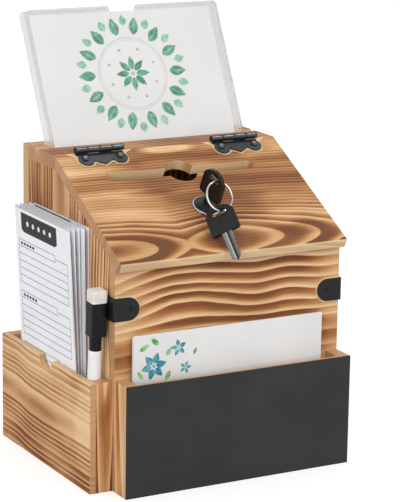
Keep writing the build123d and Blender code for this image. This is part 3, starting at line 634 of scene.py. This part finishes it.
def steel_painted_groove_light():
    """Steel of the hanging blade, with painted shade in its milled groove and a painted highlight on the
    land beside it.
    """
    across = on_lid(*SPARE_HANG).cross(on_lid(*SPARE_FACE)).normalized()
    places = [MM * across.dot(vertex.co) for vertex in nodes_of["spare_key_blade"].data.vertices]
    net = plain("steel_painted_groove_light", "#8f8e88", "#7d7c77", 0.22, 0.9, metallic=1.0, bump=0.00006)
    off = net.math("SUBTRACT", net.towards(across), (min(places) + max(places)) / 2)
    tone = net.math("MULTIPLY_ADD", off, 1.0 / KEY_BLADE_WIDTH, 0.5)
    brushed = net.waves(net.combine(net.math("MULTIPLY", off, 3.0), 0.0, 0.0), 0.05, 1.0)
    # The ramp paints shade dark in the groove and a highlight bright on the land beside it.
    net.set(Base_Color=net.ramp(net.math("ADD", tone, brushed), (
        (0.0, "#8a8984"), (0.30, "#66655f"), (0.40, "#34332f"), (0.52, "#3b3a36"), (0.60, "#bdbcb6"),
        (0.72, "#96958f"), (1.0, "#75746f"))))
    return net


def slip_paper():
    """White paper whose upper edges carry painted shade between the sheets, as fine grey lines."""
    net = plain("paper", "#f6f8fd", "#f1f3f9", 0.75, 0.1, bump=0.00002, specular=0.2)
    # Painted shade: the top faces are greyed in fine lines where the gaps between sheets lie.
    sheets = net.noise(net.combine(net.math("MULTIPLY", net.towards(X), 3.2), 0.0, 0.0), 1.0)
    edge = net.mix(net.smooth(sheets, 0.35, 0.60), "#d4d5d8", "#8c8d90")
    net.over(net.smooth(net.facing(Z), 0.7, 0.9), edge)
    return net


def clear_acrylic():
    """Clear sheets, through which light falls onto the card."""
    net = Finish("clear_acrylic")
    haze = net.noise(net.place, 2.0, scale=0.06)
    path = net.new("LightPath")
    lit = net.math("MAXIMUM", path.outputs["Is Shadow Ray"], path.outputs["Is Diffuse Ray"])
    net.set(
        Base_Color=(0.965, 0.975, 0.975, 1.0), Roughness=net.smooth(haze, *NOISE_RANGE, 0.01, 0.03),
        Transmission_Weight=1.0, IOR=1.49, Alpha=net.math("MULTIPLY_ADD", lit, -0.45, 0.45))
    return net


def dress_metal():
    """The hinges, the brackets, the lock and the keys."""
    paint(hinge_metal(), "left_hinge_fixed_leaf", "right_hinge_fixed_leaf", "hinge_pins",
          "fixed_leaf_screws", "left_hinge_lid_leaf", "right_hinge_lid_leaf")
    paint(screws_painted_highlight(), "lid_leaf_screws")
    paint(plain("black_metal", "#0d0e0f", "#161718", 0.46, bump=0.00004, specular=0.4),
          "left_corner_bracket", "right_corner_bracket", "lock_strike", "lock_nut", "lock_cam")
    paint(plain("black_lock", "#111216", "#1b1d21", 0.24, bump=0.00003, specular=0.4),
          "lock_housing", "lock_plug", "bracket_screws", "strike_screws", "cam_screw")
    paint(plain("bright_steel", "#8f8e88", "#7d7c77", 0.22, 0.9, metallic=1.0, bump=0.00006), "key_blade")
    paint(steel_painted_groove_light(), "spare_key_blade")
    paint(plain("ring_steel", "#d0cfca", "#bdbcb7", 0.16, metallic=1.0, spread=0.04), "key_ring")
    paint(plain("chrome", "#d4d6d8", "#c2c4c6", 0.12, metallic=1.0, spread=0.04), "lock_rim")


def dress_plastic():
    """The key heads, the marker and the sign stand."""
    paint(plain("black_plastic", "#0c0d0e", "#151617", 0.27, bump=0.00003, specular=0.32),
          "key_head", "spare_key_head", "marker_cap", "marker_collar")
    paint(plain("white_plastic", "#f4f5f7", "#ecedef", 0.25), "marker_barrel")
    paint(plain("felt", "#ecebe6", "#dedcd4", 0.9, 0.8, bump=0.0003, specular=0.1, spread=0.03),
          "marker_eraser", "marker_nib")
    paint(clear_acrylic(), "sign_holder")


def dress_paper():
    """The slips, the cards and the chalkboard sheet."""
    paint(slip_paper(), "suggestion_slips")
    paint(plain("card_paper", "#e8e9e9", "#e3e4e4", 0.7, 0.1, specular=0.2), "display_cards")
    paint(plain("sign_paper", "#e2e2e2", "#dededd", 0.7, 0.1, specular=0.2), "sign_card")
    paint(plain("chalkboard", "#313232", "#373838", 0.72, 0.12, bump=0.00005, specular=0.25), "chalkboard")


def soften(width, *names):
    """Rounds the edges of CAD nodes a little, by a width in metres."""
    for name in names:
        bevel = nodes_of[name].modifiers.new("edges", "BEVEL")
        bevel.width = width
        bevel.segments = 2
        bevel.limit_method = "ANGLE"
        bevel.angle_limit = math.radians(40)
        bevel.harden_normals = False


class Print:
    """Flat printed shapes on a card or a slip of paper. Points are given in millimetres on the
    sheet: u to the right as the print is seen, and w up from the sheet's foot."""

    def __init__(self, corner, right, up, body):
        self.corner = Vector(corner)
        self.right = Vector(right).normalized()
        self.up = Vector(up).normalized()
        self.body = body

    def ink(self, name, outlines, material, height=PRINT):
        """One piece made of closed outlines, each a thin plate that lies on the sheet."""
        lift = self.right.cross(self.up) * height / MM
        mesh = bpy.data.meshes.new(name)
        build = bmesh.new()
        for outline in outlines:
            low = [build.verts.new((self.corner + self.right * u + self.up * w) / MM) for u, w in outline]
            high = [build.verts.new(vert.co + lift) for vert in low]
            build.faces.new(list(reversed(low)))
            build.faces.new(high)
            for number, vert in enumerate(low):
                after = (number + 1) % len(low)
                build.faces.new((vert, low[after], high[after], high[number]))
        build.normal_update()
        build.to_mesh(mesh)
        build.free()
        piece = bpy.data.objects.new(name, mesh)
        scene.collection.objects.link(piece)
        mesh.materials.append(material)
        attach(piece, self.body)


def ink_colour(name, dark, light):
    """Print colour that runs from darker to lighter, as in a washed drawing."""
    net = Finish(name)
    wash = net.noise(net.place, 3.0, 0.6, scale=0.2)
    net.set(
        Base_Color=net.mix(net.smooth(wash, 0.35, 0.65), dark, light), Roughness=0.7,
        Specular_IOR_Level=0.2)
    return net.material


def around(u, w, radius, count, turn=0.0):
    """Points spread evenly round a middle, each with its angle."""
    angles = [turn + 2 * math.pi * i / count for i in range(count)]
    return [(u + radius * math.cos(angle), w + radius * math.sin(angle), angle) for angle in angles]


def disc(u, w, radius, sides=20):
    """A round outline."""
    return [(x, y) for x, y, _ in around(u, w, radius, sides)]


def rectangle(u0, w0, u1, w1):
    """A box on the sheet, from its lower left to its upper right corner."""
    return [(u0, w0), (u1, w0), (u1, w1), (u0, w1)]


def petal(u, w, angle, length, width, sharp=1.0, steps=8):
    """A leaf-shaped outline that starts at a point and runs at an angle."""
    side = [(length * i / steps, 0.5 * width * math.sin(math.pi * (i / steps) ** sharp))
            for i in range(steps + 1)]
    points = side + [(a, -b) for a, b in reversed(side[1:-1])]
    cosine, sine = math.cos(angle), math.sin(angle)
    return [(u + a * cosine - b * sine, w + a * sine + b * cosine) for a, b in points]


def hoop(u, w, radius, width, sides=72):
    """A thin round line, as a row of short plates."""
    outer = disc(u, w, radius, sides)
    inner = disc(u, w, radius - width, sides)
    return [[inner[i - 1], inner[i], outer[i], outer[i - 1]] for i in range(sides)]


def add_sign_print():
    """A round of plain petals about a ring on the card in the sign stand."""
    sheet = Print(SIGN_FOOT + SIGN_FACE * SIGN_CARD_FACE, X, SIGN_UP, "sign_insert")
    u, w = -1.5, 55.0
    green = ink_colour("ink_green", "#3f7f63", "#6fae8f")
    sage = ink_colour("ink_sage", "#74b097", "#a4cfb9")
    grey = ink_colour("ink_grey", "#a9a7a4", "#c0bebb")
    spokes = 14
    inner = [petal(*at, length=15.5, width=8.4, sharp=0.8) for at in around(u, w, 33.0, spokes)]
    between = around(u, w, 40.5, spokes, math.pi / spokes)
    outer = [petal(*at, length=9.5, width=6.6, sharp=0.8) for at in between]
    veins = [petal(*at, length=13.0, width=0.8) for at in around(u, w, 33.5, spokes)]
    heart = [petal(*at, length=12.0, width=5.4, sharp=0.8) for at in around(u, w, 3.0, 8)]
    sheet.ink("sign_petals_1", inner, green)
    sheet.ink("sign_petals_2", outer, sage)
    sheet.ink("sign_veins", veins, sage, OVERPRINT)
    sheet.ink("sign_rings", hoop(u, w, 30.5, width=0.45) + hoop(u, w, 28.6, width=0.3), grey)
    sheet.ink("sign_heart", heart, green)
    dots = [disc(x, y, 1.3, 12) for x, y, _ in around(u, w, 21.5, 8, math.pi / 8)]
    sheet.ink("sign_dots", dots + [disc(u, w, 1.9, 16)], grey)


def add_card_print():
    """Three plain round flowers and some buds at the left end of the front card."""
    low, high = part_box("display_cards")
    sheet = Print(low * MM, X, Z, "cards")
    top = (high.z - low.z) * MM
    teal = ink_colour("ink_teal", "#2f7f94", "#6fb3bb")
    leaf = ink_colour("ink_leaf", "#4f9f58", "#9ccf8a")
    petals = []
    green = []
    for u, down, size, count, turn in (
            (17.0, 25.0, 9.0, 6, 0.2), (38.0, 13.0, 5.6, 5, 0.5), (44.0, 29.0, 4.2, 5, 0.0)):
        starts = around(u, top - down, 0.22 * size, count, turn)
        petals += [petal(*at, length=size, width=0.62 * size, sharp=0.75) for at in starts]
        green.append(disc(u, top - down, 0.16 * size, 12))
    for u, down, angle, length in (
            (5.0, 12.0, 0.5, 9.0), (21.0, 9.0, 2.4, 9.0), (27.5, 18.0, 0.9, 8.0),
            (31.0, 30.0, 4.2, 9.0), (51.0, 20.0, 1.2, 6.0), (8.0, 34.0, 2.2, 8.0)):
        green.append(petal(u, top - down, angle, length, width=0.45 * length, sharp=0.8))
    sheet.ink("card_flowers", petals, teal)
    sheet.ink("card_leaves", green, leaf)


def slip_sheet(number):
    """The outer face of a slip, by its number from the outermost."""
    lean = SLIP_LEAN * (1 - number / (SLIP_COUNT - 1))
    shift = SLIP_SHIFT * (number * SLIP_SHUFFLE % SLIP_COUNT)
    corner = SLIP_CORNER + Vector((SLIP_PITCH * number, shift, SLIP_THICKNESS * math.sin(lean)))
    return Print(corner, (0, -1, 0), (-math.sin(lean), 0, math.cos(lean)), "slips")


def add_slip_prints():
    """A plain form on the first slip: a dark bar, and boxes with ruled lines. The bar of a slip
    further back shows as a dark line above the slips before it."""
    sheet = slip_sheet(0)
    black = ink_colour("ink_black", "#3a3b3a", "#454644")
    grey = ink_colour("ink_rule", "#7d8082", "#8f9294")
    white = ink_colour("ink_paper", "#e8eaee", "#f0f1f4")
    bar_left, bar_right, bar_foot = 10.5, 74.5, SLIP_HEIGHT - 18.0
    bar_top = SLIP_HEIGHT - 2.5
    cut_along, cut_up = 4.0, 2.0
    bar = [(bar_left, bar_top), (bar_left, bar_foot + cut_up), (bar_left + cut_along, bar_foot),
           (bar_right - cut_along, bar_foot), (bar_right, bar_foot + cut_up), (bar_right, bar_top)]
    sheet.ink("slip_bar", [bar], black)
    dots = [disc(22.0 + 10.2 * i, SLIP_HEIGHT - 10.2, 2.1, 14) for i in range(5)]
    sheet.ink("slip_bar_dots", dots, white, OVERPRINT)
    left, tab, right = 4.0, 70.0, 91.5
    row, rows, step_down, thick = 5.9, 6, 3.4, 0.55
    rules = []
    marks = []
    for down in (24.5, 66.5, 108.5):
        top = SLIP_HEIGHT - down
        low = top - row * rows
        rules += [rectangle(left, top - thick, tab, top), rectangle(left, low, left + thick, top),
                  rectangle(tab - thick, top - row, tab, top),
                  rectangle(tab, top - step_down, right, top - step_down + thick),
                  rectangle(right - thick, low, right, top - step_down)]
        rules += [rectangle(left, top - row * i, tab if i == 1 else right, top - row * i + thick)
                  for i in range(1, rows + 1)]
        marks += [rectangle(8.0 + 5.2 * i, top - 4.1, 11.6 + 5.2 * i, top - 2.0) for i in range(5)]
    sheet.ink("slip_rules", rules, grey)
    sheet.ink("slip_marks", marks, black)
    back_bar = rectangle(bar_left, bar_foot, bar_right, SLIP_HEIGHT - 0.02)
    slip_sheet(number=6).ink("slip_back_bar", [back_bar], black)


def add_floor():
    """The floor, which keeps the object's shadow and looks white where it is lit."""
    mesh = bpy.data.meshes.new("floor")
    mesh.from_pydata([(u, w, 0) for u, w in rectangle(-FLOOR_SIZE, -FLOOR_SIZE, FLOOR_SIZE, FLOOR_SIZE)], [],
                     [(0, 1, 2, 3)])
    floor = bpy.data.objects.new("floor", mesh)
    scene.collection.objects.link(floor)
    net = Surface("floor")
    path = net.new("LightPath")
    net.set(
        Base_Color=(0.50, 0.485, 0.48, 1.0), Roughness=0.9, Specular_IOR_Level=0.1,
        Emission_Color=(1.0, 1.0, 1.0, 1.0),
        Emission_Strength=net.math("MULTIPLY", path.outputs["Is Camera Ray"], FLOOR_LIFT))
    mesh.materials.append(net.material)


def add_world():
    """White all round where it is seen, mirrored or looked at through the sheets, and a little
    less bright where it lights the object."""
    world = bpy.data.worlds.new("world")
    scene.world = world
    world.use_nodes = True
    net = Nodes(world.node_tree)
    path = net.new("LightPath")
    seen = net.math("MAXIMUM", path.outputs["Is Camera Ray"], path.outputs["Is Glossy Ray"])
    seen = net.math("MAXIMUM", seen, path.outputs["Is Transmission Ray"])
    background = net.tree.nodes["Background"]
    background.inputs["Color"].default_value = (1.0, 1.0, 1.0, 1.0)
    net.put(background.inputs["Strength"], net.linear(seen, 0.0, 1.0, WORLD_LIGHT))


def add_lamps():
    """The lamps, as flat squares and a strip that all face the object."""
    for name, place, width, height, power in LAMPS:
        data = bpy.data.lights.new(name, "AREA")
        data.shape = "RECTANGLE"
        data.size = width
        data.size_y = height
        data.energy = power
        lamp = bpy.data.objects.new(name, data)
        scene.collection.objects.link(lamp)
        turn = (LAMP_AIM - Vector(place)).to_track_quat("-Z", "Y").to_matrix().to_4x4()
        lamp.matrix_world = Matrix.Translation(place) @ turn


add_camera()
dress_lid()
dress_front()
dress_panels()
dress_pockets()
dress_metal()
dress_plastic()
dress_paper()
soften(0.0006, "front_panel", "back_panel", "left_side_panel", "right_side_panel", "bottom_panel",
       "top_board", "slip_pocket_front_board", "slip_pocket_back_board", "slip_pocket_bottom",
       "card_pocket_left_side", "card_pocket_right_side", "card_pocket_bottom")
soften(0.0004, "key_head", "spare_key_head", "marker_cap")
add_sign_print()
add_card_print()
add_slip_prints()
add_floor()
add_world()
add_lamps()
